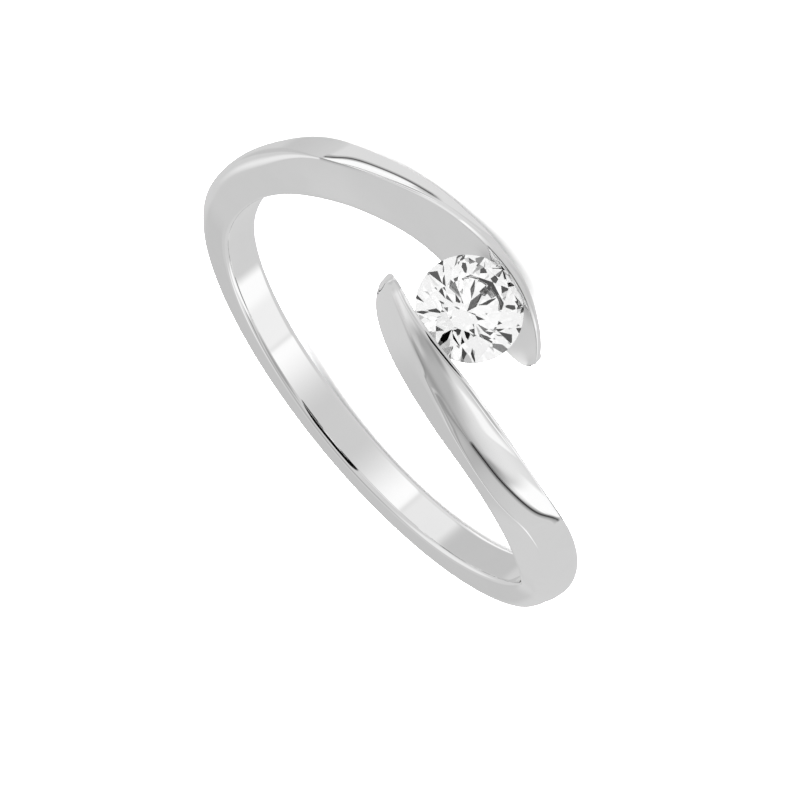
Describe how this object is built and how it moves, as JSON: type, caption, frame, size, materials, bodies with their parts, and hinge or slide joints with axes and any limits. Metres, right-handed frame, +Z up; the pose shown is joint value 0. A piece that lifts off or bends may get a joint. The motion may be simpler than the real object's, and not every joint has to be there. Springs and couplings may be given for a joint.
{
  "type": "bypass solitaire ring",
  "caption": "Bypass solitaire ring: a cast metal band whose crossing arms grip a round brilliant cubic zirconia, lying on its side.",
  "frame": {"origin": "centre of the bounding box's base, on the surface that the ring lies on", "axes": "+Z up, nearly along the finger hole; -Y is the front, where the stone faces; X runs across the head"},
  "size_m": [0.0203, 0.0224, 0.0058],
  "materials": {
    "metal": "mirror polished silver",
    "stone": "faceted and polished, colourless"
  },
  "bodies": {
    "root": {"band": "metal", "stone": "stone"}
  },
  "joints": []
}
